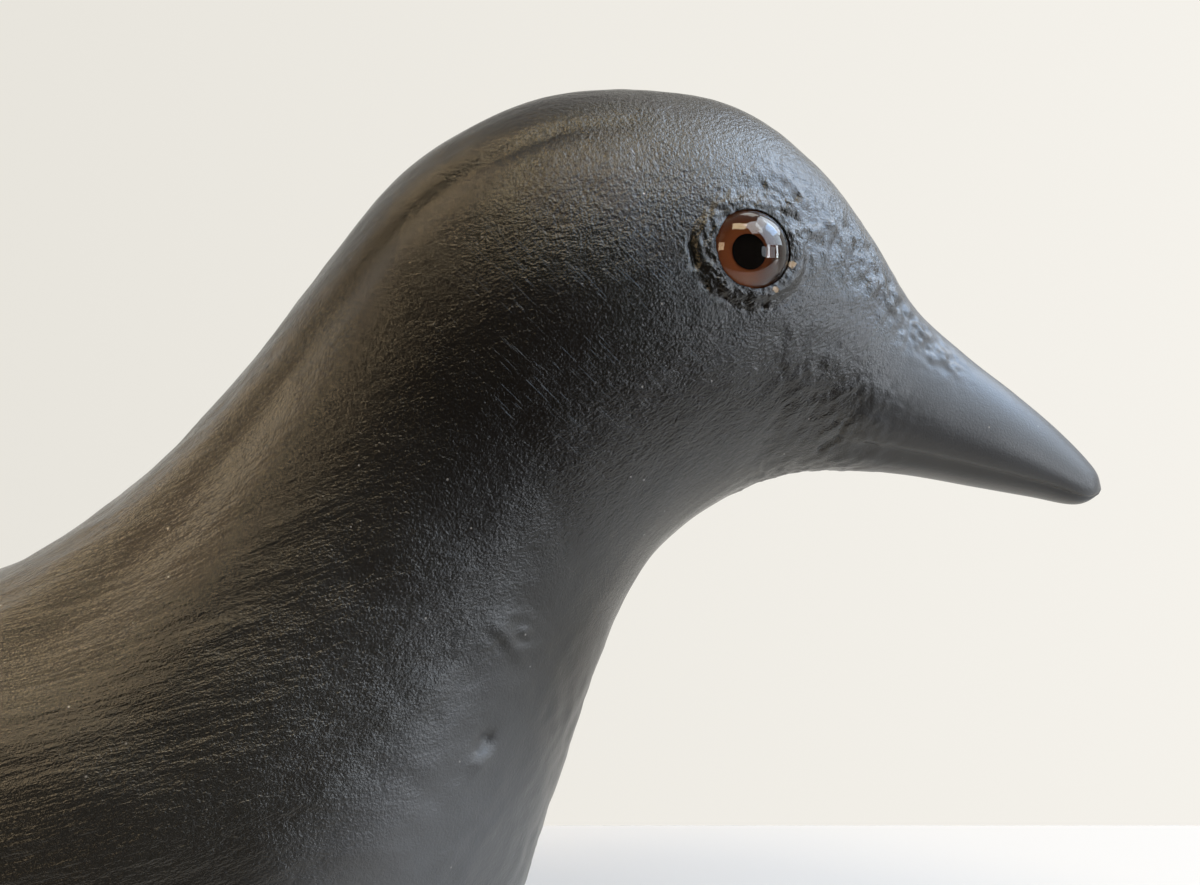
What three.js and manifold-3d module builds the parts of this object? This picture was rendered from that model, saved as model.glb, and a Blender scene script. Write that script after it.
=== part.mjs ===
// A carved and painted wooden crow with glass eyes: a bust of head, neck and shoulders, cut flat below.
// Lengths are millimetres. +X runs towards the bill, +Y to the bird's left and +Z up.
// The origin is on the flat underside, below the middle of the whole length.
import * as THREE from 'three';
import { mergeVertices } from 'three/addons/utils/BufferGeometryUtils.js';
import Module from 'manifold-3d';

const wasm = await Module();
wasm.setup();

// Driving sizes
const HEIGHT = 127; // from the underside to the crown
const EYE_DIAMETER = 11; // of the glass, across its straight edge
const EYE_DOME = 3.6; // how far the glass bulges beyond its edge
const EYE_EDGE = 1.6; // thickness of the glass behind the dome
const EYE_CLEARANCE = 0.3; // between the glass and its socket, all round
const EYE_INSET = 0.7; // the edge of the glass lies this far under the carved skin
const RIM_WIDTH = 2.3; // of the putty ring round the glass
const RIM_HEIGHT = 0.65; // of its crest above the carved skin
const RIM_CREST = 0.75; // of the ring's width lies outside its crest
const BILL_NOSE = 0.45; // how far the bill's rounded end stands out past the first cut

// How finely the solids are faceted
const ROWS_PER_STATION = 4;
const EYE_SEGMENTS = 28;
const DOME_STEPS = 5;

// Each station is a cut across the bird, from a point on its back line to a point on its front line.
// Points are [forward, up], and they and the half width are shares of HEIGHT.
const STATIONS = [
  { name: 'bill tip', back: [0.7825, 0.559], front: [0.779, 0.546], half: 0.007 },
  { name: 'nib', back: [0.7735, 0.5785], front: [0.753, 0.5355], half: 0.024 },
  { name: 'outer bill', back: [0.737, 0.617], front: [0.703, 0.544], half: 0.04 },
  { name: 'middle bill', back: [0.686, 0.66], front: [0.641, 0.555], half: 0.056 },
  { name: 'inner bill', back: [0.626, 0.707], front: [0.567, 0.568], half: 0.071 },
  { name: 'gape', back: [0.5675, 0.761], front: [0.497, 0.574], half: 0.088 },
  { name: 'lore', back: [0.5175, 0.8405], front: [0.438, 0.572], half: 0.111 },
  { name: 'brow', back: [0.457, 0.916], front: [0.386, 0.558], half: 0.139 },
  { name: 'eye', back: [0.376, 0.977], front: [0.343, 0.536], half: 0.165 },
  { name: 'crown', back: [0.271, 1.0], front: [0.306, 0.511], half: 0.185 },
  { name: 'poll', back: [0.157, 0.993], front: [0.276, 0.483], half: 0.199 },
  { name: 'upper nape', back: [0.057, 0.952], front: [0.253, 0.45], half: 0.207 },
  { name: 'lower nape', back: [-0.027, 0.886], front: [0.232, 0.41], half: 0.213 },
  { name: 'upper neck', back: [-0.109, 0.781], front: [0.214, 0.362], half: 0.226 },
  { name: 'middle neck', back: [-0.196, 0.669], front: [0.193, 0.304], half: 0.25 },
  { name: 'lower neck', back: [-0.298, 0.564], front: [0.17, 0.236], half: 0.284 },
  { name: 'mantle', back: [-0.42, 0.48], front: [0.148, 0.171], half: 0.32 },
  { name: 'shoulder', back: [-0.548, 0.432], front: [0.129, 0.11], half: 0.347 },
  { name: 'upper rump', back: [-0.662, 0.345], front: [0.115, 0.062], half: 0.358 },
  { name: 'lower rump', back: [-0.742, 0.235], front: [0.107, 0.03], half: 0.361 },
  { name: 'heel', back: [-0.7745, 0.115], front: [0.104, 0.01], half: 0.361 },
  { name: 'seat', back: [-0.7842, 0], front: [0.104, 0], half: 0.357 },
];
const LAST = STATIONS.length - 1;

// Where a station stands along the bird, counted in stations from the bill tip.
function station(name) {
  return STATIONS.findIndex((s) => s.name === name);
}

// A value that runs in straight lines between named stations.
function along(pairs) {
  const stops = pairs.map(([name, value]) => [station(name), value]);
  return (t) => {
    if (t <= stops[0][0]) return stops[0][1];
    for (let i = 1; i < stops.length; i++) {
      const [from, low] = stops[i - 1];
      const [to, high] = stops[i];
      if (t <= to) return THREE.MathUtils.mapLinear(t, from, to, low, high);
    }
    return stops[stops.length - 1][1];
  };
}

// Carving that follows the stations. Angles are degrees round a cut, from the back line at 0 to the
// front line at 180, and depths are shares of HEIGHT.
const SECTION_FULLNESS = 0.93; // 1 is an ellipse, and less is squarer
const culmenTaper = along([['bill tip', 0.25], ['inner bill', 0.25], ['brow', 0]]);
const channelAngle = along([
  ['crown', 41],
  ['upper neck', 41.5],
  ['middle neck', 42],
  ['lower neck', 45.5],
  ['mantle', 51],
]);
const channelSpread = along([
  ['crown', 4],
  ['upper nape', 4.5],
  ['upper neck', 8],
  ['lower neck', 13],
  ['mantle', 15],
]);
const channelDepth = along([
  ['crown', 0],
  ['poll', 0.005],
  ['upper nape', 0.006],
  ['upper neck', 0.006],
  ['lower neck', 0.014],
  ['mantle', 0.016],
  ['upper rump', 0.008],
  ['heel', 0],
]);
const mouthAngle = along([['bill tip', 125], ['outer bill', 129], ['inner bill', 136], ['lore', 139]]);
const MOUTH_SPREAD = 9;
const mouthDepth = along([
  ['bill tip', 0.001],
  ['nib', 0.003],
  ['inner bill', 0.005],
  ['gape', 0.006],
  ['lore', 0],
]);
const GROOVE_STEEPNESS = 0.6; // a groove's upper wall is this share as wide as its lower one
const GROOVE_REACH = 1.25; // a groove has died away at this many spreads from its middle

// How deep a groove is, as a share of its full depth, at some degrees below its middle.
function groove(below, spread) {
  return Math.exp(-((below / (below < 0 ? spread * GROOVE_STEEPNESS : spread)) ** 2));
}

// The three curves that carry the form, sampled by station number.
function curve(points) {
  const scaled = points.map(([x, y]) => new THREE.Vector2(x, y).multiplyScalar(HEIGHT));
  const spline = new THREE.SplineCurve(scaled);
  return (t) => spline.getPoint(t / LAST);
}
const backLine = curve(STATIONS.map((s) => s.back));
const frontLine = curve(STATIONS.map((s) => s.front));
const halfWidth = curve(STATIONS.map((s, i) => [i, s.half]));

// A point of the carved skin: station number t, and degrees round the cut, positive on the bird's left.
function skin(t, degrees) {
  const back = backLine(t);
  const front = frontLine(t);
  const middle = back.clone().add(front).multiplyScalar(0.5);
  const reach = back.clone().sub(middle);
  const angle = THREE.MathUtils.degToRad(degrees);
  const upwards = Math.cos(angle);
  const sideways = Math.sign(Math.sin(angle)) * Math.abs(Math.sin(angle)) ** SECTION_FULLNESS;
  const outwards = new THREE.Vector3(
    reach.x * upwards,
    halfWidth(t).y * sideways * (1 - culmenTaper(t) * upwards),
    reach.y * upwards,
  );
  const round = Math.abs(degrees);
  const cut = HEIGHT * (channelDepth(t) * groove(round - channelAngle(t), channelSpread(t))
    + mouthDepth(t) * groove(round - mouthAngle(t), MOUTH_SPREAD));
  outwards.setLength(outwards.length() - cut);
  return new THREE.Vector3(middle.x, 0, middle.y).add(outwards);
}

// Degrees of the facet lines round one side of a cut: some of them follow the channel and the mouth.
const GUIDES = [
  { line: 0, degrees: () => 0 },
  { line: 3, degrees: (t) => channelAngle(t) - channelSpread(t) * GROOVE_STEEPNESS * GROOVE_REACH },
  { line: 5, degrees: (t) => channelAngle(t) },
  { line: 7, degrees: (t) => channelAngle(t) + channelSpread(t) * GROOVE_REACH },
  { line: 14, degrees: (t) => mouthAngle(t) - MOUTH_SPREAD * GROOVE_STEEPNESS * GROOVE_REACH },
  { line: 16, degrees: (t) => mouthAngle(t) },
  { line: 18, degrees: (t) => mouthAngle(t) + MOUTH_SPREAD * GROOVE_REACH },
  { line: 22, degrees: () => 180 },
];
const LINES_PER_SIDE = GUIDES[GUIDES.length - 1].line;
const LINES_AROUND = LINES_PER_SIDE * 2;

function lineDegrees(line, t) {
  const side = line <= LINES_PER_SIDE ? 1 : -1;
  const count = side > 0 ? line : LINES_AROUND - line;
  const next = Math.max(1, GUIDES.findIndex((guide) => guide.line >= count));
  const [low, high] = [GUIDES[next - 1], GUIDES[next]];
  return side * THREE.MathUtils.mapLinear(count, low.line, high.line, low.degrees(t), high.degrees(t));
}

// The skin as one closed mesh: a point at the bill, rings of facets, and the flat underside.
function carvedForm() {
  const positions = [];
  const rows = LAST * ROWS_PER_STATION;
  for (let row = 0; row <= rows; row++) {
    const t = row / ROWS_PER_STATION;
    for (let line = 0; line < LINES_AROUND; line++) positions.push(...skin(t, lineDegrees(line, t)));
  }
  const tip = positions.length / 3;
  const tipPoint = backLine(0).clone().add(frontLine(0)).multiplyScalar(0.5);
  positions.push(tipPoint.x + BILL_NOSE, 0, tipPoint.y);
  const under = tip + 1;
  const seatMiddle = backLine(LAST).clone().add(frontLine(LAST)).multiplyScalar(0.5);
  positions.push(seatMiddle.x, 0, seatMiddle.y);

  const faces = [];
  for (let line = 0; line < LINES_AROUND; line++) {
    const beside = (line + 1) % LINES_AROUND;
    for (let row = 0; row < rows; row++) {
      const [a, b] = [row * LINES_AROUND + line, row * LINES_AROUND + beside];
      const [c, d] = [a + LINES_AROUND, b + LINES_AROUND];
      faces.push(a, b, c, b, d, c);
    }
    faces.push(tip, beside, line);
    faces.push(under, rows * LINES_AROUND + line, rows * LINES_AROUND + beside);
  }
  const form = new THREE.BufferGeometry();
  form.setAttribute('position', new THREE.Float32BufferAttribute(positions, 3));
  form.setIndex(faces);
  return form;
}

// The eye's seat on the skin, a little forward of the eye station: its middle and the way the glass looks.
const EYE_STATION = station('eye') - 0.1;
const EYE_DEGREES = 77.5;

function eyeSeat(side) {
  const step = 0.05;
  const at = skin(EYE_STATION, EYE_DEGREES);
  const alongBird = skin(EYE_STATION + step, EYE_DEGREES).sub(at);
  const round = skin(EYE_STATION, EYE_DEGREES + step).sub(at);
  const outwards = alongBird.cross(round).normalize();
  if (outwards.y < 0) outwards.negate();
  return {
    middle: at.multiply(new THREE.Vector3(1, side, 1)),
    outwards: outwards.multiply(new THREE.Vector3(1, side, 1)),
  };
}

// The glass, turned about +Y with its straight edge ending at 0, grown by a margin on every side.
function glassProfile(margin) {
  const radius = EYE_DIAMETER / 2;
  const ball = (radius ** 2 + EYE_DOME ** 2) / (2 * EYE_DOME);
  const opening = Math.asin(radius / ball);
  const floor = -EYE_EDGE - margin;
  const points = [new THREE.Vector2(0, floor), new THREE.Vector2(radius + margin, floor)];
  for (let i = 0; i <= DOME_STEPS; i++) {
    const angle = opening * (1 - i / DOME_STEPS);
    const across = i === DOME_STEPS ? 0 : (ball + margin) * Math.sin(angle);
    points.push(new THREE.Vector2(across, EYE_DOME - ball + (ball + margin) * Math.cos(angle)));
  }
  return points;
}

function turned(profile) {
  return new THREE.LatheGeometry(profile, EYE_SEGMENTS);
}

// The putty ring before its socket is cut: a low mound on the skin whose edge falls away into the wood.
function rimForm() {
  const outer = EYE_DIAMETER / 2 + EYE_CLEARANCE + RIM_WIDTH;
  const crest = outer - RIM_WIDTH * RIM_CREST;
  const flank = (outer + crest) / 2;
  const buried = RIM_WIDTH * 1.2;
  const points = [
    [0, -buried],
    [outer, -buried],
    [outer, -RIM_HEIGHT],
    [flank + RIM_HEIGHT / 2, 0],
    [flank, RIM_HEIGHT / 2],
    [crest, RIM_HEIGHT],
    [0, RIM_HEIGHT],
  ];
  return turned(points.map(([across, above]) => new THREE.Vector2(across, EYE_INSET + above)));
}

function placeAtEye(object, side) {
  const seat = eyeSeat(side);
  object.quaternion.setFromUnitVectors(new THREE.Vector3(0, 1, 0), seat.outwards);
  object.position.copy(seat.middle).addScaledVector(seat.outwards, -EYE_INSET);
  object.updateMatrix();
  return object;
}

function solid(geometry, matrix = new THREE.Matrix4()) {
  const bare = geometry.clone().applyMatrix4(matrix);
  bare.deleteAttribute('normal');
  bare.deleteAttribute('uv');
  const merged = mergeVertices(bare, 1e-3);
  return new wasm.Manifold(new wasm.Mesh({
    numProp: 3,
    vertProperties: merged.attributes.position.array,
    triVerts: new Uint32Array(merged.index.array),
  }));
}

function geometryOf(manifold) {
  const mesh = manifold.getMesh();
  const geometry = new THREE.BufferGeometry();
  geometry.setAttribute('position', new THREE.BufferAttribute(mesh.vertProperties, 3));
  geometry.setIndex(new THREE.BufferAttribute(mesh.triVerts, 1));
  geometry.computeVertexNormals();
  return geometry;
}

// The wooden bird: the carved form, with a putty ring and a drilled socket for each eye.
function crowMesh() {
  let body = solid(carvedForm());
  for (const side of [1, -1]) {
    const matrix = placeAtEye(new THREE.Object3D(), side).matrix;
    body = body.add(solid(rimForm(), matrix)).subtract(solid(turned(glassProfile(EYE_CLEARANCE)), matrix));
  }
  const paint = new THREE.MeshStandardMaterial({ color: 0x1c1c1d, roughness: 0.48, metalness: 0 });
  const mesh = new THREE.Mesh(geometryOf(body), paint);
  mesh.name = 'crow';
  return mesh;
}

// A domed glass eye with a flat back.
function eyeMesh(name, side) {
  const glass = new THREE.MeshStandardMaterial({ color: 0x4a2418, roughness: 0.04, metalness: 0 });
  const mesh = new THREE.Mesh(turned(glassProfile(0)), glass);
  mesh.name = name;
  return placeAtEye(mesh, side);
}

const crow = new THREE.Group();
crow.add(crowMesh(), eyeMesh('eye_left', 1), eyeMesh('eye_right', -1));

// The bird is slid along so that the origin lies below the middle of its length.
const box = new THREE.Box3().setFromObject(crow);
crow.position.x = -(box.min.x + box.max.x) / 2;

export default crow;
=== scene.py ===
import math

import bpy
import numpy as np
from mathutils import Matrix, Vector


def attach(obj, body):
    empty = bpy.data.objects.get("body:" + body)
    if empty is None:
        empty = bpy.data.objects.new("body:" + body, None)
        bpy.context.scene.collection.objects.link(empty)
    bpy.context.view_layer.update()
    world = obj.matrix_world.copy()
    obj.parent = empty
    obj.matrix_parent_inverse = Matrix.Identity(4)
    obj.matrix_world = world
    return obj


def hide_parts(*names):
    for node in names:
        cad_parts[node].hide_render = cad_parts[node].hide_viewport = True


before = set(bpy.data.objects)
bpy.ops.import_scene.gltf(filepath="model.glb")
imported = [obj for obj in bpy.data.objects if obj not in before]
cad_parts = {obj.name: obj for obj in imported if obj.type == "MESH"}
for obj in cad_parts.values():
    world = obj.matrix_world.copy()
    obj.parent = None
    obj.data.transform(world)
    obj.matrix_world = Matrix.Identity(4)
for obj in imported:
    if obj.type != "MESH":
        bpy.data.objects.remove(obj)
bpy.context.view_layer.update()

scene = bpy.context.scene

# The camera looks level and square at the bird's right side from less than 200 mm away, so the near
# side of the head is seen a little larger than the far one. It frames the head and neck.
PHOTO_WIDTH = 1200
FOCAL_PIXELS = 1287
SENSOR_WIDTH = 36.0
CAMERA_PLACE = (0.02717, -0.186, 0.07695)
camera = bpy.data.objects.new("camera", bpy.data.cameras.new("camera"))
camera.data.sensor_width = SENSOR_WIDTH
camera.data.lens = SENSOR_WIDTH * FOCAL_PIXELS / PHOTO_WIDTH
camera.data.clip_start = 0.01
camera.location = CAMERA_PLACE
camera.rotation_euler = (math.pi / 2, 0, 0)
scene.collection.objects.link(camera)
scene.camera = camera
scene.view_settings.view_transform = "Standard"

# The stage is a pale table top that ends a little behind the bird, before a pale wall. Bluish windows and
# two bright panes are beyond the bill, a warm ceiling and small warm lamps are behind the bird. The camera
# sees the plain wall, and all else sees a room that is dark behind the camera and dimmer high up.
TABLE_BACK_EDGE = 0.073
TABLE_FRONT_EDGE = -0.10
TABLE_REACH = 1.6
TABLE_DROP = 0.0001
TABLE_COLOUR = (0.52, 0.50, 0.485, 1)
TABLE_GLARE = (0.56, 0.52, 0.46, 1)
TABLE_GLOSS = 0.8
TABLE_ROUGHNESS = 0.3
WALL_LEFT = (0.800, 0.775, 0.715, 1)
WALL_RIGHT = (0.915, 0.890, 0.835, 1)
ROOM_BEHIND_CAMERA = (0.075, 0.058, 0.045, 1)
HIGH_SHADE = 0.4
SHADE_STARTS = 0.3
SHADE_ENDS = 0.75
WALL_SPAN = 0.45
ROOM_SPAN = 0.35
BIRD_MIDDLE = (0.03, 0.0, 0.07)
LIGHTS = {
    # name: degrees to the left of forwards, degrees up, metres away, size in metres, colour, radiance
    "window_light": (-8, 36, 1.2, (1.15, 0.8), (0.74, 0.86, 1.0), 5.0),
    "high_window_light": (-2, 61, 1.2, (0.8, 0.3), (0.88, 0.94, 1.0), 5.2),
    "low_window_light": (-31, 3, 1.2, (0.86, 0.46), (0.86, 0.92, 1.0), 2.5),
    "near_pane_light": (-31, 4, 1.1, (0.13, 0.5), (0.90, 0.95, 1.0), 11.0),
    "far_pane_light": (-4, 4, 1.1, (0.13, 0.5), (0.90, 0.95, 1.0), 11.0),
    "sky_light": (6, 43, 1.1, (0.5, 0.36), (0.35, 0.6, 1.0), 6.0),
    "rear_window_light": (33, 43, 1.2, (0.4, 0.6), (0.80, 0.89, 1.0), 5.0),
    "ceiling_light": (-50, 60, 1.2, (0.6, 0.65), (0.96, 1.0, 1.0), 5.0),
    "far_ceiling_light": (66, 66, 1.2, (0.4, 0.35), (1.0, 0.96, 0.88), 2.4),
    "warm_ceiling_light": (-114, 67, 1.2, (0.56, 0.36), (1.0, 0.80, 0.50), 9.0),
    "lamp_light": (166, 53, 1.2, (0.15, 0.13), (1.0, 0.72, 0.38), 28.0),
    "side_lamp_light": (-149, 21, 0.25, (0.08, 0.07), (1.0, 0.75, 0.45), 7.0),
    "back_lamp_light": (169, 24, 0.213, (0.045, 0.04), (1.0, 0.72, 0.40), 6.5),
    "glow_light": (180, 36, 1.2, (1.0, 0.4), (1.0, 0.72, 0.42), 0.3),
}


def new_node(tree, kind, inputs=(), **fields):
    """A shader node with its fields set. Each input is linked to another node's socket or given a value."""
    made = tree.nodes.new("ShaderNode" + kind)
    for name, value in fields.items():
        setattr(made, name, value)
    for name, given in dict(inputs).items():
        if isinstance(given, bpy.types.NodeSocket):
            tree.links.new(given, made.inputs[name])
        else:
            made.inputs[name].default_value = given
    return made


def new_material(name):
    """An empty node material, and its node tree."""
    made = bpy.data.materials.new(name)
    made.use_nodes = True
    made.node_tree.nodes.clear()
    return made, made.node_tree


def mapped(tree, value, low, high, first=0.0, last=1.0):
    """A value mapped in a straight line: first at low, last at high, and held beyond them."""
    ranges = {"Value": value, "From Min": low, "From Max": high, "To Min": first, "To Max": last}
    return new_node(tree, "MapRange", ranges).outputs[0]


def mix(tree, share, first, second):
    """A colour that is the first of two at a share of 0 and the second at a share of 1."""
    return new_node(tree, "MixRGB", {0: share, 1: first, 2: second}).outputs[0]


def surface(tree, inputs):
    """A material's surface shader with its inputs, led to the material's output."""
    shader = new_node(tree, "BsdfPrincipled", inputs)
    new_node(tree, "OutputMaterial", {"Surface": shader.outputs[0]})


table_corners = [
    (-TABLE_REACH, TABLE_FRONT_EDGE, -TABLE_DROP),
    (TABLE_REACH, TABLE_FRONT_EDGE, -TABLE_DROP),
    (TABLE_REACH, TABLE_BACK_EDGE, -TABLE_DROP),
    (-TABLE_REACH, TABLE_BACK_EDGE, -TABLE_DROP),
]
table_top = bpy.data.meshes.new("table_top")
table_top.from_pydata(table_corners, [], [(0, 1, 2, 3)])
table = bpy.data.objects.new("table_top", table_top)
scene.collection.objects.link(table)
table_paint, tree = new_material("table_paint")
seen = new_node(tree, "LightPath").outputs["Is Camera Ray"]
tone = mix(tree, seen, TABLE_GLARE, TABLE_COLOUR)
surface(tree, {"Base Color": tone, "Roughness": TABLE_ROUGHNESS, "Specular IOR Level": TABLE_GLOSS})
table_top.materials.append(table_paint)

room = bpy.data.worlds.new("room")
room.use_nodes = True
room.node_tree.nodes.clear()
tree = room.node_tree
heading = new_node(tree, "SeparateXYZ", {0: new_node(tree, "TexCoord").outputs["Generated"]})
wall = mix(tree, mapped(tree, heading.outputs["X"], -WALL_SPAN, WALL_SPAN), WALL_LEFT, WALL_RIGHT)
around = mix(tree, mapped(tree, heading.outputs["Y"], -ROOM_SPAN, ROOM_SPAN), ROOM_BEHIND_CAMERA, wall)
seen = new_node(tree, "LightPath").outputs["Is Camera Ray"]
upwards = mapped(tree, heading.outputs["Z"], SHADE_STARTS, SHADE_ENDS, 1.0, HIGH_SHADE)
shaded = new_node(tree, "VectorMath", {0: around, "Scale": upwards}, operation="SCALE")
background = new_node(tree, "Background", {"Color": mix(tree, seen, shaded.outputs[0], wall)})
new_node(tree, "OutputWorld", {"Surface": background.outputs[0]})
scene.world = room

for name, (left, up, away, size, colour, radiance) in LIGHTS.items():
    left, up = math.radians(left), math.radians(up)
    towards = Vector((math.cos(left) * math.cos(up), math.sin(left) * math.cos(up), math.sin(up)))
    panel = bpy.data.lights.new(name, "AREA")
    panel.shape = "RECTANGLE"
    panel.size, panel.size_y = size
    panel.color = colour
    panel.energy = radiance * math.pi * size[0] * size[1]
    lamp = bpy.data.objects.new(name, panel)
    lamp.location = Vector(BIRD_MIDDLE) + away * towards
    lamp.rotation_euler = (-towards).to_track_quat("-Z", "Y").to_euler()
    scene.collection.objects.link(lamp)

# The crow is one block of wood, carved and sanded to head, bill, neck and shoulders, and cut flat below.
# It is drawn here from the same cuts across the bird as the solid has: each is given by a point on the
# back line, a point on the front line (forward, up) and half a width, as shares of the height.
MM = 0.001
HEIGHT = 127 * MM
CUTS = {
    "bill tip": (0.7825, 0.559, 0.779, 0.546, 0.007),
    "nib": (0.7735, 0.5785, 0.753, 0.5355, 0.024),
    "outer bill": (0.737, 0.617, 0.703, 0.544, 0.04),
    "middle bill": (0.686, 0.66, 0.641, 0.555, 0.056),
    "inner bill": (0.626, 0.707, 0.567, 0.568, 0.071),
    "gape": (0.5675, 0.761, 0.497, 0.574, 0.088),
    "lore": (0.5175, 0.8405, 0.438, 0.572, 0.111),
    "brow": (0.457, 0.916, 0.386, 0.558, 0.139),
    "eye": (0.376, 0.977, 0.343, 0.536, 0.165),
    "crown": (0.271, 1.0, 0.306, 0.511, 0.185),
    "poll": (0.157, 0.993, 0.276, 0.483, 0.199),
    "upper nape": (0.057, 0.952, 0.253, 0.45, 0.207),
    "lower nape": (-0.027, 0.886, 0.232, 0.41, 0.213),
    "upper neck": (-0.109, 0.781, 0.214, 0.362, 0.226),
    "middle neck": (-0.196, 0.669, 0.193, 0.304, 0.25),
    "lower neck": (-0.298, 0.564, 0.17, 0.236, 0.284),
    "mantle": (-0.42, 0.48, 0.148, 0.171, 0.32),
    "shoulder": (-0.548, 0.432, 0.129, 0.11, 0.347),
    "upper rump": (-0.662, 0.345, 0.115, 0.062, 0.358),
    "lower rump": (-0.742, 0.235, 0.107, 0.03, 0.361),
    "heel": (-0.7745, 0.115, 0.104, 0.01, 0.361),
    "seat": (-0.7842, 0.0, 0.104, 0.0, 0.357),
}
ORDER = list(CUTS)
LAST_CUT = len(ORDER) - 1
CUT_VALUES = np.array(list(CUTS.values())) * HEIGHT
SECTION_FULLNESS = 0.93
MOUTH_SPREAD = 9.0
GROOVE_STEEPNESS = 0.6


def between_cuts(t, **stops):
    """A value at cut numbers t, in straight lines between the named cuts."""
    numbers = [ORDER.index(name.replace("_", " ")) for name in stops]
    return np.interp(t, numbers, list(stops.values()))


def smooth_cuts(t):
    """The five values of a cut at cut numbers t: a Catmull-Rom curve through those of the named cuts."""
    start_number = np.clip(np.floor(t).astype(int), 0, LAST_CUT - 1)
    u = (t - start_number)[..., None]
    before, start, end, after = (CUT_VALUES[np.clip(start_number + k, 0, LAST_CUT)] for k in (-1, 0, 1, 2))
    leaving, arriving = (end - before) / 2, (after - start) / 2
    cubic = 2 * start - 2 * end + leaving + arriving
    square = 3 * end - 3 * start - 2 * leaving - arriving
    return ((cubic * u + square) * u + leaving) * u + start


def bell(x):
    """One at x = 0, falling to almost nothing at x = 2: e to the power of minus x squared."""
    return np.exp(-(x**2))


def groove(below, spread):
    """A groove's depth, from 0 to 1, at some degrees below its middle. Its upper wall is the steeper."""
    return bell(below / np.where(below < 0, spread * GROOVE_STEEPNESS, spread))


def carved_skin(t, degrees):
    """The skin at cut numbers t and degrees round the cut, 0 on the back line and 180 on the front line.

    Each cut is an ellipse made a little squarer, and narrower above than below on the bill, less two
    grooves: the channel beside the ridge of the neck, and the mouth.
    """
    back_x, back_z, front_x, front_z, half = np.moveaxis(smooth_cuts(t), -1, 0)
    upwards, sideways = np.cos(np.radians(degrees)), np.sin(np.radians(degrees))
    sideways = np.sign(sideways) * np.abs(sideways) ** SECTION_FULLNESS
    culmen_taper = between_cuts(t, bill_tip=0.25, inner_bill=0.25, brow=0.0)
    reach_x, reach_z = (back_x - front_x) / 2, (back_z - front_z) / 2
    out = np.stack([reach_x * upwards, half * sideways * (1 - culmen_taper * upwards), reach_z * upwards], -1)
    channel_angle = between_cuts(t, crown=41, upper_neck=41.5, middle_neck=42, lower_neck=45.5, mantle=51)
    channel_spread = between_cuts(t, crown=4, upper_nape=4.5, upper_neck=8, lower_neck=13, mantle=15)
    channel_depth = between_cuts(
        t,
        crown=0,
        poll=0.005,
        upper_nape=0.006,
        upper_neck=0.006,
        lower_neck=0.014,
        mantle=0.016,
        upper_rump=0.008,
        heel=0,
    )
    mouth_angle = between_cuts(t, bill_tip=125, outer_bill=129, inner_bill=136, lore=139)
    mouth_depth = between_cuts(t, bill_tip=0.001, nib=0.003, inner_bill=0.005, gape=0.006, lore=0)
    channel = channel_depth * groove(np.abs(degrees) - channel_angle, channel_spread)
    mouth = mouth_depth * groove(np.abs(degrees) - mouth_angle, MOUTH_SPREAD)
    out *= (1 - HEIGHT * (channel + mouth) / np.linalg.norm(out, axis=-1))[..., None]
    middle = np.stack([(back_x + front_x) / 2, np.zeros_like(back_x), (back_z + front_z) / 2], -1)
    return middle + out


def outwards(t, degrees):
    """Outward normals of the skin: the cross product of its slopes round the cut and along the bird."""
    step = 1e-3
    t = np.clip(t, 2 * step, LAST_CUT - 2 * step)
    along = carved_skin(t + step, degrees) - carved_skin(t - step, degrees)
    round_cut = carved_skin(t, degrees + step) - carved_skin(t, degrees - step)
    normal = np.cross(round_cut, along)
    return normal / np.linalg.norm(normal, axis=-1, keepdims=True)


# The surface of the wood: knife and sanding marks that run back along the bird, wrinkled filler and
# thick paint about the face, a rough band up the forehead, and a filled patch with dents on the breast.
NOISE_SIZE = 64
noise_heights = np.random.default_rng(7).uniform(-1, 1, (NOISE_SIZE,) * 3)
GRAIN_CENTRE = (-110 * MM, 320 * MM)
GRAIN_RADIUS = 270 * MM
FACE_SLOPE = 32.0
FILLER_PLACE = (0.0165, 0.0525)
FILLER_SIZE = (0.0035, 0.003)
CRUMB_PLACE = (0.0122, 0.0372)
CRUMB_SIZE = (0.0012, 0.0012)
NICKS = [
    # start and end in side view (forward, up), depth and width in millimetres
    ((0.0134, 0.0412), (0.0127, 0.0385), 0.8, 0.7),
    ((0.0571, 0.0757), (0.0605, 0.0778), 0.55, 0.34),
    ((0.0596, 0.0777), (0.0608, 0.0802), 0.38, 0.32),
    ((0.0527, 0.1098), (0.0537, 0.1092), 0.7, 0.5),
]


def lumps(places, cell, seed=0):
    """Random heights from -1 to 1 on a lattice of cells, blended by smooth steps between its corners."""
    scaled = places / np.asarray(cell) + seed * 17.3
    corner = np.floor(scaled).astype(int)
    part = scaled - corner
    part = part * part * (3 - 2 * part)
    total = 0
    for dx in (0, 1):
        for dy in (0, 1):
            for dz in (0, 1):
                height = noise_heights[
                    (corner[..., 0] + dx) % NOISE_SIZE,
                    (corner[..., 1] + dy) % NOISE_SIZE,
                    (corner[..., 2] + dz) % NOISE_SIZE,
                ]
                share = np.abs(1 - dx - part[..., 0]) * np.abs(1 - dy - part[..., 1])
                total = total + height * share * np.abs(1 - dz - part[..., 2])
    return total


def ramp(x, low, high):
    """0 below low, 1 above high, and a smooth step between."""
    x = np.clip((x - low) / (high - low), 0, 1)
    return x * x * (3 - 2 * x)


def grain_directions(places):
    """Distances along and across the brush marks, which are arcs about a far centre, and sideways."""
    x, z = places[..., 0] - GRAIN_CENTRE[0], places[..., 2] - GRAIN_CENTRE[1]
    return np.stack([GRAIN_RADIUS * np.arctan2(z, x), np.hypot(x, z), places[..., 1]], -1)


def patch(places, middle, size):
    """1 at a place in side view (x, z), falling away over a size (length, height), on both sides."""
    return bell(np.hypot((places[..., 0] - middle[0]) / size[0], (places[..., 2] - middle[1]) / size[1]))


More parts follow.
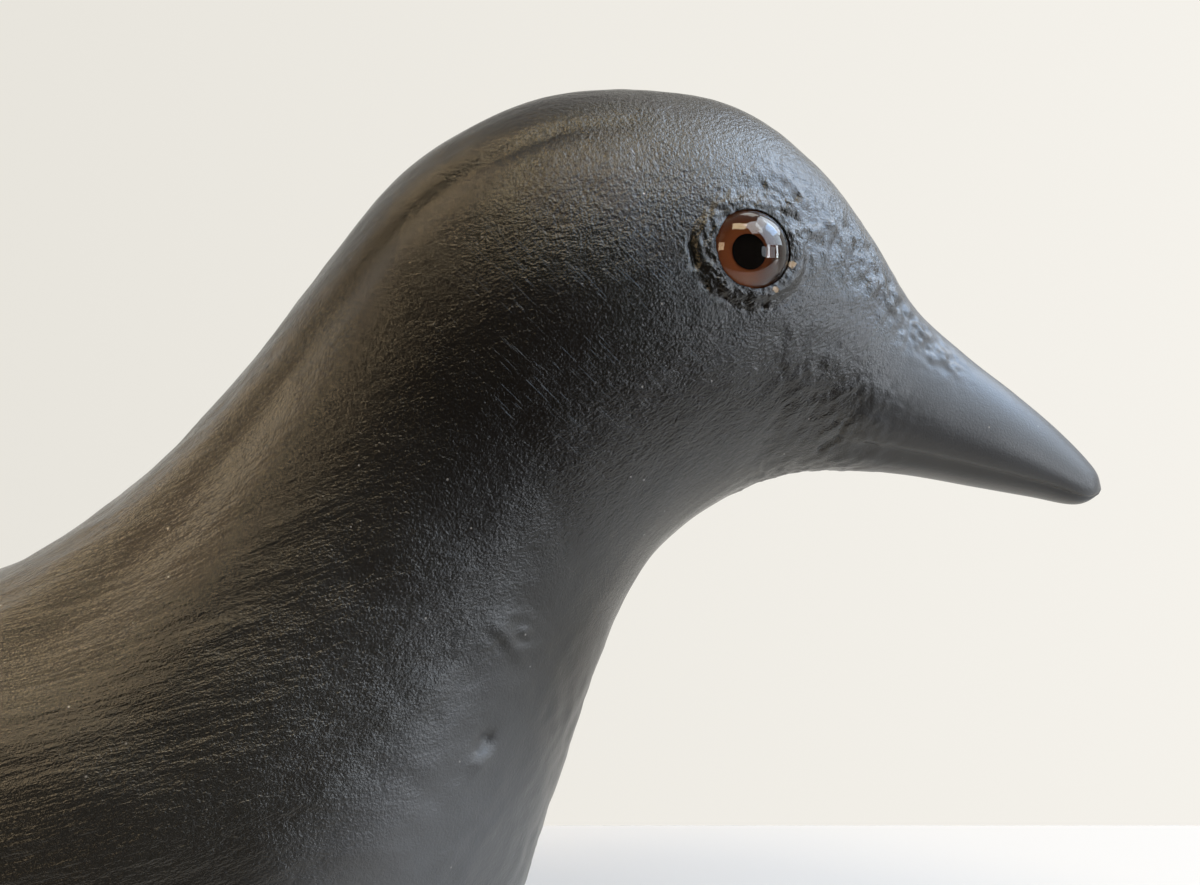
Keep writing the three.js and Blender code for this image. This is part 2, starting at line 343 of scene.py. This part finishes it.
def nick(places, start, end, width):
    """1 along a knife cut from start to end in side view (x, z), falling away over its width."""
    start, end = np.array(start), np.array(end)
    run = end - start
    from_start = places[..., [0, 2]] - start
    share = np.clip((from_start @ run) / (run @ run), 0, 1)
    gap = np.linalg.norm(from_start - share[..., None] * run, axis=-1)
    return bell(gap / width) * np.clip(4 * np.minimum(share + 0.05, 1.05 - share), 0, 1)


def relief(places, t, degrees):
    """Height of the worked surface over the plain carving, in millimetres."""
    round_cut = np.abs(degrees)
    on_right = places[..., 1] < 0
    grain = grain_directions(places)
    bill = 1 - ramp(t, 4.2, 5.6)
    face = ramp(t, 3.9, 5.4) * (1 - ramp(t, 7.0, 8.2)) * ramp(round_cut, 82, 100)
    band = between_cuts(t, inner_bill=47, lore=50, brow=56, crown=62)
    forehead = ramp(t, 3.6, 5.0) * (1 - ramp(t, 7.6, 8.3)) * bell((round_cut - band) / 15)
    body = ramp(t, 12.0, 14.5)
    height = 0.10 * lumps(places, 9 * MM, 1) + 0.05 * lumps(places, 4 * MM, 2)
    height *= 1 - 0.6 * bill
    height += (0.03 + 0.12 * body) * (1 - bill) * lumps(grain, (16 * MM, 2.4 * MM, 2.4 * MM), 3)
    height += (0.05 + 0.04 * body) * (1 - bill) * lumps(grain, (6 * MM, 1.3 * MM, 1.3 * MM), 4)
    slope = np.radians(FACE_SLOPE)
    rising = places[..., 0] * np.cos(slope) + places[..., 2] * np.sin(slope)
    across = places[..., 2] * np.cos(slope) - places[..., 0] * np.sin(slope)
    creases = np.stack([rising, across, places[..., 1]], -1)
    wrinkle = lumps(creases, (2.8 * MM, 0.9 * MM, 2.0 * MM), 5)
    wrinkle = wrinkle + 0.6 * lumps(creases, (1.2 * MM, 0.7 * MM, 1.0 * MM), 6)
    height += face * (0.12 * wrinkle + 0.07 * lumps(places, 0.6 * MM, 17))
    height += forehead * (0.46 * lumps(places, 1.5 * MM, 7) + 0.36 * lumps(places, 0.8 * MM, 8))
    filler = on_right * patch(places, FILLER_PLACE, FILLER_SIZE)
    height += filler * (0.15 + 0.35 * lumps(places, 1.1 * MM, 9))
    crumb = patch(places, CRUMB_PLACE, CRUMB_SIZE) * (1 + lumps(places, 0.9 * MM, 10))
    height += 0.3 * on_right * crumb
    for start, end, depth, width in NICKS:
        height -= depth * on_right * nick(places, start, end, width * MM)
    return height * ramp(places[..., 2], 0.0, 4 * MM) * ramp(t, 0.0, 0.6)


# The eye seats are drilled sockets with a ring of putty pressed round each glass. The ring is thicker
# towards the beak and the nape, laps a little over the glass, and has come away in a crack behind the eye.
EYE_DIAMETER = 11 * MM
EYE_DOME = 3.6 * MM
EYE_EDGE = 1.6 * MM
EYE_INSET = 0.7 * MM
EYE_CLEARANCE = 0.3 * MM
EYE_CUT = ORDER.index("eye") - 0.1
EYE_DEGREES = 77.5
EYE_BALL = ((EYE_DIAMETER / 2) ** 2 + EYE_DOME**2) / (2 * EYE_DOME)
SEAT_REACH = 8.9 * MM
SEAT_WINDOW = 10.0 * MM
SEAT_OUTER_RINGS = 4
SEAT_RINGS = 29
LIP_GAP = 0.11 * MM


def eye_axes(side):
    """The middle of an eye on the skin, and its axes towards the bill, upwards and outwards."""
    t, degrees = np.array([EYE_CUT]), np.array([side * EYE_DEGREES])
    middle, out = carved_skin(t, degrees)[0], outwards(t, degrees)[0]
    forwards = np.array([1.0, 0, 0]) - out[0] * out
    forwards /= np.linalg.norm(forwards)
    return middle, forwards, np.cross(forwards, out) * side, out


def eye_plan(places, side):
    """Places as seen along an eye's axis: how far towards the bill and how far up from its middle."""
    middle, forwards, upwards, _ = eye_axes(side)
    return (places - middle) @ np.stack([forwards, upwards], -1)


def find_on_skin(plan, side, t, degrees):
    """Cut numbers and degrees of the skin at places in an eye's plan, by Newton steps from a guess."""
    step = 1e-3
    for _ in range(6):
        here = eye_plan(carved_skin(t, degrees), side)
        miss = plan - here
        by_t = (eye_plan(carved_skin(t + step, degrees), side) - here) / step
        by_d = (eye_plan(carved_skin(t, degrees + step), side) - here) / step
        scale = by_t[..., 0] * by_d[..., 1] - by_t[..., 1] * by_d[..., 0]
        t = t + (miss[..., 0] * by_d[..., 1] - miss[..., 1] * by_d[..., 0]) / scale
        degrees = degrees + (miss[..., 1] * by_t[..., 0] - miss[..., 0] * by_t[..., 1]) / scale
    return t, degrees


def between_turns(turn, first, last, fade=12):
    """1 where a turn lies between two angles in degrees, falling to 0 over a fade at each end."""
    here = np.degrees(turn) % 360
    return ramp(here, first, first + fade) * (1 - ramp(here, last - fade, last))


def putty(away, turn, places):
    """Height of the putty ring in millimetres: a lumpy crest that falls to the glass, and its cracks."""
    crest = (6.45 + 0.4 * np.cos(2 * turn) - 0.3 * np.cos(turn)) * MM
    crest = crest + 0.25 * MM * lumps(places, 2.2 * MM, 11)
    width = np.where(away > crest, 0.95 * MM, 2.2 * MM)
    height = (0.55 + 0.14 * np.cos(turn)) * bell((away - crest) / width)
    rough = bell((away - 6.3 * MM) / (1.9 * MM))
    rough *= 0.65 - 0.35 * np.cos(turn)
    height += rough * (0.22 * lumps(places, 0.95 * MM, 12) + 0.16 * lumps(places, 0.45 * MM, 13))
    behind = between_turns(turn, 165, 290) * ramp(lumps(places, 1.7 * MM, 14), -0.35, 0.15)
    wander = 0.7 * MM * lumps(places, 2.6 * MM, 16)
    height -= 0.65 * behind * bell((away - crest - 1.0 * MM - wander) / (0.42 * MM))
    above = between_turns(turn, 8, 62) * (0.7 + 0.5 * lumps(places, 1.1 * MM, 15))
    height -= 0.4 * above * bell((away - crest - 0.75 * MM - wander) / (0.32 * MM))
    return height


def worked_skin(t, degrees):
    """The skin with its worked surface and the putty round the nearer eye."""
    plain = carved_skin(t, degrees)
    right, left = eye_plan(plain, -1), eye_plan(plain, 1)
    plan = np.where((degrees < 0)[..., None], right, left)
    away, turn = np.hypot(plan[..., 0], plan[..., 1]), np.arctan2(plan[..., 1], plan[..., 0])
    calm = 0.3 + 0.7 * ramp(away, 6 * MM, 9 * MM)
    height = relief(plain, t, degrees) * calm + putty(away, turn, plain) * (1 - ramp(away, 9 * MM, 12 * MM))
    return plain + (height * MM)[..., None] * outwards(t, degrees)


def in_eye(side, turn, across, above):
    """Places at a turn round an eye's axis, a distance across it and a height above the glass's edge."""
    middle, forwards, upwards, out = eye_axes(side)
    ray = np.cos(turn)[..., None] * forwards + np.sin(turn)[..., None] * upwards
    return middle + np.asarray(across)[..., None] * ray + (np.asarray(above) - EYE_INSET)[..., None] * out


def eye_seat(side, t_border, degrees_border):
    """Rings of places from a border in the skin to the glass, over its lip and down to the socket's floor.

    Outer rings pass from the border to a circle. The next follow the skin to the lip, which keeps a gap
    to the dome of the glass, and the last ones follow the drilled wall. Cut numbers and degrees go with them.
    """
    border = eye_plan(carved_skin(t_border, degrees_border), side)
    turn = np.unwrap(np.arctan2(border[:, 1], border[:, 0]))
    even = turn[0] + np.sign(turn[-1] - turn[0]) * 2 * np.pi * np.arange(turn.size) / turn.size
    turn = (turn + even) / 2
    circle = SEAT_REACH * np.stack([np.cos(turn), np.sin(turn)], -1)
    share = np.linspace(0, 1, SEAT_OUTER_RINGS + 1)[1:, None, None]
    outer_plan = border + share * (circle - border)
    lip = np.full(turn.size, EYE_DIAMETER / 2)
    middle, _, _, out = eye_axes(side)
    for _ in range(3):
        inner_share = np.linspace(0, 1, SEAT_RINGS + 1)[1:, None]
        away = SEAT_REACH + inner_share * (lip - SEAT_REACH)
        inner_plan = away[..., None] * np.stack([np.cos(turn), np.sin(turn)], -1)
        plan = np.concatenate([outer_plan, inner_plan])
        pull = (1 - np.linspace(0, 1, len(plan) + 1)[1:, None]) * 0.9
        t_guess = EYE_CUT + pull * (t_border - EYE_CUT)
        degrees_guess = side * EYE_DEGREES + pull * (degrees_border - side * EYE_DEGREES)
        t, degrees = find_on_skin(plan, side, t_guess, degrees_guess)
        rings = worked_skin(t, degrees)
        above = (rings[-1] - middle) @ out + EYE_INSET
        lip = np.sqrt(EYE_BALL**2 - (EYE_BALL - EYE_DOME + above) ** 2) + LIP_GAP
    wall = EYE_DIAMETER / 2 + EYE_CLEARANCE
    floor = -EYE_EDGE - EYE_CLEARANCE
    level = np.zeros_like(lip)
    across = np.stack([lip + 0.03 * MM, lip + 0.12 * MM, level + wall, level + wall, level + 0.9 * wall])
    height = np.stack([above - 0.12 * MM, above - 0.35 * MM, level, level + 0.9 * floor, level + floor])
    socket = in_eye(side, np.broadcast_to(turn, across.shape), across, height)
    t = np.concatenate([t, np.broadcast_to(t[-1], across.shape)])
    degrees = np.concatenate([degrees, np.broadcast_to(degrees[-1], across.shape)])
    return np.concatenate([rings, socket]), t, degrees


ROWS = 352
LINES = 236
ROW_SPACING = dict(
    bill_tip=0.45, middle_bill=0.42, gape=0.33, eye=0.36, poll=0.6, upper_neck=0.75, mantle=1.0, seat=1.3
)
LAST_ROWS_LEFT = (0.04, 0.025, 0.012, 0.004, 0.0)
FOOT_ROUND = 0.6 * MM
BILL_NOSE = 0.45 * MM
UNDERSIDE_RINGS = (0.98, 0.5)


def rows_along():
    """Cut numbers of the mesh rows, closer where the carving is finer, and distances along the side."""
    t = np.linspace(0, LAST_CUT, 4000)
    side = carved_skin(t, np.full_like(t, 90.0))
    steps = np.linalg.norm(np.diff(side, axis=0), axis=1)
    travelled = np.concatenate([[0], np.cumsum(steps / between_cuts(t[1:], **ROW_SPACING))])
    rows = np.interp(np.linspace(0, travelled[-1], ROWS), travelled, t)[:-1]
    rows = np.concatenate([rows[rows < LAST_CUT - 0.06], LAST_CUT - np.array(LAST_ROWS_LEFT)])
    return rows, np.interp(rows, t, np.concatenate([[0], np.cumsum(steps)]))


def quads_between(rings):
    """Faces between closed rings of vertex numbers, outward where the rings turn left as they advance."""
    beside = np.roll(rings, -1, axis=1)
    return np.stack([rings[:-1], beside[:-1], beside[1:], rings[1:]], -1)


def fan(ring, middle):
    """Triangles from a ring of vertex numbers to one in its middle."""
    return np.stack([ring, np.roll(ring, -1), np.full(ring.size, middle)], -1)


def new_piece(name, places, faces):
    """An object at the origin with a smooth mesh of places and of arrays of faces."""
    mesh = bpy.data.meshes.new(name)
    mesh.from_pydata(places, [], [corners for group in faces for corners in group.tolist()])
    mesh.polygons.foreach_set("use_smooth", np.ones(len(mesh.polygons), bool))
    mesh.update()
    made = bpy.data.objects.new(name, mesh)
    scene.collection.objects.link(made)
    return made


t_rows, row_lengths = rows_along()
line_degrees = -180 + 360 * np.arange(LINES) / LINES
t_skin, degrees_skin = np.meshgrid(t_rows, line_degrees, indexing="ij")
skin = worked_skin(t_skin, degrees_skin)
foot_middle = skin[-1].mean(0) * (1, 1, 0)
from_floor = np.clip(skin[..., 2], 0, FOOT_ROUND)
inset = FOOT_ROUND - np.sqrt(FOOT_ROUND**2 - (FOOT_ROUND - from_floor) ** 2)
inwards = (foot_middle - skin) * (1, 1, 0)
inwards /= np.linalg.norm(inwards, axis=-1, keepdims=True) + 1e-9
skin += inset[..., None] * inwards
skin[-1, :, 2] = 0.0
underside = np.stack([foot_middle + share * (skin[-1] - foot_middle) for share in UNDERSIDE_RINGS])
rings = np.concatenate([skin, underside])
number = np.arange(rings[..., 0].size).reshape(rings.shape[:2])
cells = quads_between(number)
kept_cells = np.ones(cells.shape[:2], bool)

turns = np.radians([0, 90, 180, 270])
window_plan = SEAT_WINDOW * np.stack([np.cos(turns), np.sin(turns)], -1)
window_t, window_degrees = find_on_skin(window_plan, -1, np.full(4, EYE_CUT), np.full(4, -EYE_DEGREES))
first_row, last_row = np.searchsorted(t_rows, [window_t[0], window_t[2]]) - (1, 0)
first_line, last_line = np.searchsorted(line_degrees, [window_degrees[3], window_degrees[1]]) - (1, 0)
up = np.arange(first_line, last_line)
back = np.arange(first_row, last_row)
border_rows = np.concatenate([0 * up + first_row, back, 0 * up + last_row, back[::-1] + 1])
border_lines = np.concatenate([up, 0 * back + last_line, up[::-1] + 1, 0 * back + first_line])

bill_end = rings[0].mean(0) + (BILL_NOSE, 0, 0)
places = [rings.reshape(-1, 3), [bill_end, foot_middle]]
cut_numbers = [t_skin.ravel(), np.full(underside[..., 0].size, LAST_CUT), [0, LAST_CUT]]
cut_degrees = [degrees_skin.ravel(), np.zeros(underside[..., 0].size), [0, 0]]
faces = []
count = rings[..., 0].size + 2
faces.append(fan(number[0][::-1], count - 2))
faces.append(fan(number[-1], count - 1))
for side in (-1, 1):
    lines = border_lines if side < 0 else (LINES - border_lines)[::-1]
    rows = border_rows if side < 0 else border_rows[::-1]
    kept_cells[first_row:last_row, min(lines) : max(lines)] = False
    seat, t_seat, degrees_seat = eye_seat(side, t_rows[rows], line_degrees[lines])
    seat_number = count + np.arange(seat[..., 0].size).reshape(seat.shape[:2])
    faces.append(quads_between(np.concatenate([[number[rows, lines]], seat_number])).reshape(-1, 4))
    faces.append(fan(seat_number[-1], count + seat_number.size))
    places += [seat.reshape(-1, 3), [seat[-1].mean(0)]]
    cut_numbers += [t_seat.ravel(), [EYE_CUT]]
    cut_degrees += [degrees_seat.ravel(), [side * EYE_DEGREES]]
    count += seat_number.size + 1
faces.append(cells[kept_cells])
places = np.concatenate(places)
cut_numbers = np.concatenate(cut_numbers)
cut_degrees = np.concatenate(cut_degrees)
crow = new_piece("crow_carving", places, faces)

# The paint's marks follow the carving, so their directions and places go with the mesh. "grain" runs back
# along the bird, and "girth" along the side and round each cut. "finish" holds the shares of the crown's
# short strokes, the flanks' long strokes and the bill, and "calm" those of smooth paint, of the body, and of
# a painted sheen: a grey that lightens the bill and the lower breast in place of the light they reflect.
GIRTH_PER_DEGREE = 0.42 * MM


def keep_vectors(mesh, name, vectors):
    """Stores a vector for each vertex of a mesh as an attribute."""
    mesh.attributes.new(name, "FLOAT_VECTOR", "POINT").data.foreach_set("vector", vectors.astype("f").ravel())


round_cut = np.abs(cut_degrees)
along = np.interp(cut_numbers, t_rows, row_lengths)
girth = np.stack([along, cut_degrees * GIRTH_PER_DEGREE, 0 * along], -1)
on_crown = ramp(cut_numbers, 4.5, 6.0) * (1 - ramp(cut_numbers, 9.8, 11.2)) * (1 - ramp(round_cut, 66, 92))
on_bill = 1 - ramp(cut_numbers, 4.6, 6.2)
on_breast = ramp(cut_numbers, 11.0, 13.0) * ramp(round_cut, 98, 128)
on_flank = ramp(cut_numbers, 12.0, 15.5) * (1 - 0.8 * on_breast)
keep_vectors(crow.data, "grain", grain_directions(places))
keep_vectors(crow.data, "girth", girth)
keep_vectors(crow.data, "finish", np.stack([on_crown, on_flank, on_bill], -1))
on_body = ramp(cut_numbers, 9.5, 13.0)
calm = np.maximum(on_bill, 0.8 * on_breast)
# Painted sheen: the bill and the lower breast are greyed where they would reflect bright light.
painted_sheen = np.maximum(on_bill, 0.9 * ramp(cut_numbers, 13.0, 16.0) * ramp(round_cut, 104, 130))
keep_vectors(crow.data, "calm", np.stack([calm, on_body, painted_sheen], -1))


def attribute(tree, name):
    """The vector that the mesh keeps under a name."""
    return new_node(tree, "Attribute", attribute_name=name).outputs["Vector"]


def sums(tree, operation, first, second, third=0.0):
    """A Math node's result, from sockets or plain numbers."""
    return new_node(tree, "Math", {0: first, 1: second, 2: third}, operation=operation).outputs[0]


def noise_at(tree, vector, size, detail=2.0, roughness=0.5):
    """Noise from -1 to 1, with cells of a size in metres along each axis of a vector."""
    scaled = new_node(tree, "VectorMath", {0: vector, 1: size}, operation="DIVIDE").outputs[0]
    settings = {"Vector": scaled, "Scale": 1.0, "Detail": detail, "Roughness": roughness}
    noise = new_node(tree, "TexNoise", settings)
    return sums(tree, "MULTIPLY_ADD", noise.outputs[0], 2.0, -1.0)


LINE_SOFTNESS = 0.12


def fine_lines(tree, vector, size, share):
    """Thin marks, 1 where stretched noise passes a threshold, on a share of its range."""
    return mapped(tree, noise_at(tree, vector, size, detail=1.0), share, share + LINE_SOFTNESS)


SCRATCHED_PLACE = (0.031, -0.024, 0.094)
SCRATCHED_REACH = (0.027, 0.014)
PAINT_ROUGHNESS = 0.22
PAINT_GLOSS = 0.56
LINT_PER_METRE = 260.0
LINT_EDGE = (0.045, 0.025)
BLACK = (0.002, 0.0017, 0.0014, 1)
DUSTY_BLACK = (0.006, 0.0052, 0.0045, 1)
BRUSHED_BLACK = (0.013, 0.0122, 0.0108, 1)
PAINTED_SHEEN_GREY = (0.050, 0.051, 0.054, 1)
LINT_COLOUR = (0.16, 0.15, 0.14, 1)
BARE_FILLER = (0.30, 0.21, 0.125, 1)
paint, tree = new_material("black_satin_paint")
place = new_node(tree, "TexCoord").outputs["Object"]
grain = attribute(tree, "grain")
girth = attribute(tree, "girth")
finish = new_node(tree, "SeparateXYZ", {0: attribute(tree, "finish")})
crown_share, flank_share, bill_share = finish.outputs
smooth_share, body_share, painted_sheen_share = new_node(tree, "SeparateXYZ", {0: attribute(tree, "calm")}).outputs
rough_share = sums(tree, "MULTIPLY_ADD", smooth_share, -0.85, 1.0)
slant = new_node(tree, "VectorRotate", {"Vector": place, "Angle": math.radians(45)}, rotation_type="Y_AXIS")
scratches = fine_lines(tree, slant.outputs[0], (0.11 * MM, 9 * MM, 7 * MM), 0.34)
scratch_patches = mapped(tree, noise_at(tree, place, (9 * MM,) * 3), -0.25, 0.25)
from_cheek = new_node(tree, "VectorMath", {0: place, 1: SCRATCHED_PLACE}, operation="DISTANCE")
head_side = mapped(tree, from_cheek.outputs["Value"], *SCRATCHED_REACH)
strokes = noise_at(tree, girth, (0.45 * MM, 0.95 * MM, 1.0), detail=3.0, roughness=0.6)
long_grain = noise_at(tree, grain, (15 * MM, 1.5 * MM, 1.5 * MM), detail=4.0, roughness=0.62)
short_grain = noise_at(tree, grain, (1.3 * MM, 0.6 * MM, 0.6 * MM), detail=3.0, roughness=0.6)
grit = noise_at(tree, place, (0.3 * MM,) * 3, detail=2.0, roughness=0.6)
scratching = sums(tree, "MULTIPLY", scratches, scratch_patches)
MARKS = [
    # mark, share, height in millimetres
    (strokes, crown_share, 0.10),
    (long_grain, flank_share, 0.19),
    (short_grain, rough_share, 0.072),
    (grit, rough_share, 0.052),
    (grit, smooth_share, 0.008),
    (scratching, head_side, 0.04),
]
CHIPS = [
    # middle of a chip in the paint of the putty (a tenth of the true sideways distance), radius
    ((0.0521, -0.00185, 0.1001), 0.5 * MM),
    ((0.0498, -0.00195, 0.0967), 0.42 * MM),
]
height = 0.0
for mark, share, depth in MARKS:
    height = sums(tree, "MULTIPLY_ADD", sums(tree, "MULTIPLY", mark, share), depth, height)
bump = new_node(tree, "Bump", {"Height": height, "Strength": 1.0, "Distance": MM})
wear = noise_at(tree, place, (6 * MM,) * 3, detail=4.0)
worn = sums(tree, "MULTIPLY_ADD", wear, 0.05, PAINT_ROUGHNESS)
roughness = sums(tree, "MULTIPLY_ADD", smooth_share, 0.12, worn)
lint = new_node(tree, "TexVoronoi", {"Vector": slant.outputs[0], "Scale": LINT_PER_METRE}, feature="F1")
specks = mapped(tree, lint.outputs["Distance"], *LINT_EDGE)
dust = sums(tree, "MULTIPLY_ADD", grit, 0.5, 0.5)
black = mix(tree, dust, BLACK, DUSTY_BLACK)
brushed = mix(tree, flank_share, black, BRUSHED_BLACK)
# Painted sheen: a grey over the bill and lower breast stands in for the light they reflect.
with_painted_sheen = mix(tree, painted_sheen_share, brushed, PAINTED_SHEEN_GREY)
painted = mix(tree, specks, with_painted_sheen, LINT_COLOUR)
glossy = sums(tree, "MULTIPLY_ADD", bill_share, -0.26, PAINT_GLOSS)
specular = sums(tree, "MULTIPLY_ADD", body_share, -0.14, glossy)
chip_edges = noise_at(tree, place, (0.55 * MM,) * 3, detail=3.0, roughness=0.7)
for middle, radius in CHIPS:
    flat = new_node(tree, "VectorMath", {0: place, 1: (1, 0.1, 1)}, operation="MULTIPLY").outputs[0]
    away = new_node(tree, "VectorMath", {0: flat, 1: middle}, operation="DISTANCE").outputs["Value"]
    ragged = sums(tree, "MULTIPLY_ADD", chip_edges, 0.9 * radius, away)
    bare = mapped(tree, ragged, 1.1 * radius, 0.8 * radius)
    painted = mix(tree, bare, painted, BARE_FILLER)
coat = {"Base Color": painted, "Roughness": roughness, "Normal": bump.outputs[0]}
surface(tree, {**coat, "Specular IOR Level": specular})
crow.data.materials.append(paint)
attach(crow, "root")
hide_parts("crow")

# Each eye is a domed glass with a flat back, on which a brown iris and a black pupil are painted. The
# painted discs are drawn just inside the back of the clear glass. The iris is painted darker towards the
# beak: painted shade for the shaded side of the eye.
EYE_LINES = 96
IRIS_RADIUS = 5.3 * MM
PUPIL_RADIUS = 1.72 * MM
IRIS_DEPTH = EYE_EDGE - 0.15 * MM
PUPIL_DEPTH = EYE_EDGE - 0.3 * MM
DISC_THICKNESS = 0.08 * MM
DOME_RINGS = 28
DOME_TOP_ANGLE = 0.02
IRIS_SHADE_STARTS = 0.0462
IRIS_SHADE_ENDS = 0.0498
RED_BROWN = (0.15, 0.04, 0.013, 1)
IRIS_PAINTED_SHADE = (0.02, 0.008, 0.005, 1)
PUPIL_BLACK = (0.001, 0.001, 0.001, 1)
DISC_ROUGHNESS = 0.6


def turned_piece(name, side, across, above):
    """A closed form turned about an eye's axis, from distances across it and above the glass's edge."""
    turn = -side * np.linspace(0, 2 * np.pi, EYE_LINES, endpoint=False)
    across, turn = np.meshgrid(across, turn, indexing="ij")
    above = np.broadcast_to(np.asarray(above)[:, None], across.shape)
    rings = in_eye(side, turn, across, above)
    number = np.arange(across.size).reshape(across.shape)
    places = np.concatenate([rings.reshape(-1, 3), [rings[0].mean(0), rings[-1].mean(0)]])
    ends = [fan(number[0][::-1], across.size), fan(number[-1], across.size + 1)]
    return new_piece(name, places, [quads_between(number).reshape(-1, 4), *ends])


glass, tree = new_material("eye_glass")
surface(tree, {"Base Color": (1, 1, 1, 1), "Roughness": 0.0, "IOR": 1.5, "Transmission Weight": 1.0})
iris_paint, tree = new_material("iris_paint")
place = new_node(tree, "SeparateXYZ", {0: new_node(tree, "TexCoord").outputs["Object"]})
# Painted shade: the iris goes from red-brown to a dark brown towards the beak.
forwards = mapped(tree, place.outputs["X"], IRIS_SHADE_STARTS, IRIS_SHADE_ENDS)
brown = mix(tree, forwards, RED_BROWN, IRIS_PAINTED_SHADE)
surface(tree, {"Base Color": brown, "Roughness": DISC_ROUGHNESS, "Specular IOR Level": 0.0})
pupil_paint, tree = new_material("pupil_paint")
surface(tree, {"Base Color": PUPIL_BLACK, "Roughness": DISC_ROUGHNESS, "Specular IOR Level": 0.0})

dome_angle = np.linspace(math.asin(EYE_DIAMETER / 2 / EYE_BALL), DOME_TOP_ANGLE, DOME_RINGS)
dome_across = np.concatenate([[EYE_DIAMETER / 2], EYE_BALL * np.sin(dome_angle)])
dome_above = np.concatenate([[-EYE_EDGE], EYE_DOME - EYE_BALL + EYE_BALL * np.cos(dome_angle)])
for side, which in ((-1, "right"), (1, "left")):
    dome = turned_piece("glass_" + which, side, dome_across, dome_above)
    dome.data.materials.append(glass)
    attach(dome, "root")
    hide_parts("eye_" + which)
    for part, radius, depth, material in (
        ("iris_", IRIS_RADIUS, IRIS_DEPTH, iris_paint),
        ("pupil_", PUPIL_RADIUS, PUPIL_DEPTH, pupil_paint),
    ):
        across = radius * np.array([0.02, 1, 1, 0.02])
        above = np.array([-DISC_THICKNESS, -DISC_THICKNESS, 0, 0]) - depth
        disc = turned_piece(part + which, side, across, above)
        disc.data.materials.append(material)
        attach(disc, "root")
